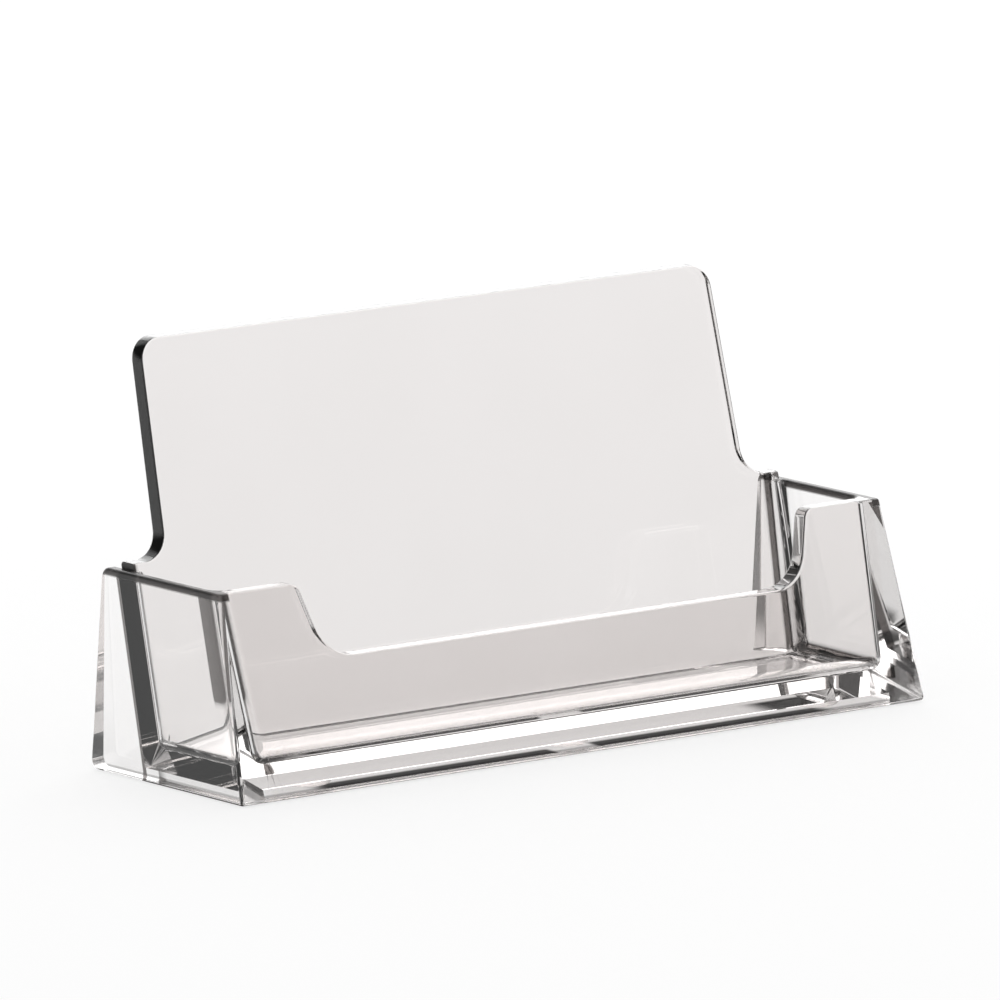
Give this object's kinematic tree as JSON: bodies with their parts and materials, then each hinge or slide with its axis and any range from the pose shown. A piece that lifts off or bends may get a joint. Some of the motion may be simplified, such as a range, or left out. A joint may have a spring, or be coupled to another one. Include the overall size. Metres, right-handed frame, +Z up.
{
  "type": "business card holder",
  "caption": "Clear desktop stand with a leaning back panel, one open pocket for landscape business cards and a wide finger notch in its low front",
  "frame": {"origin": "on the table, under the middle of the holder", "axes": "+X across the holder to the right as seen from the front, +Y from the front to the rear, +Z up"},
  "size_m": [0.0984, 0.0314, 0.0476],
  "materials": {
    "clear_plastic": "clear, polished all over, with a faint warm grey tint in its thick edges",
    "clear_pad": "clear soft pads, glossy"
  },
  "bodies": {
    "root": {"back_panel": "clear_plastic", "front_panel": "clear_plastic", "left_side_panel": "clear_plastic", "right_side_panel": "clear_plastic", "floor_panel": "clear_plastic", "left_pad": "clear_pad", "middle_pad": "clear_pad", "right_pad": "clear_pad"}
  },
  "joints": []
}
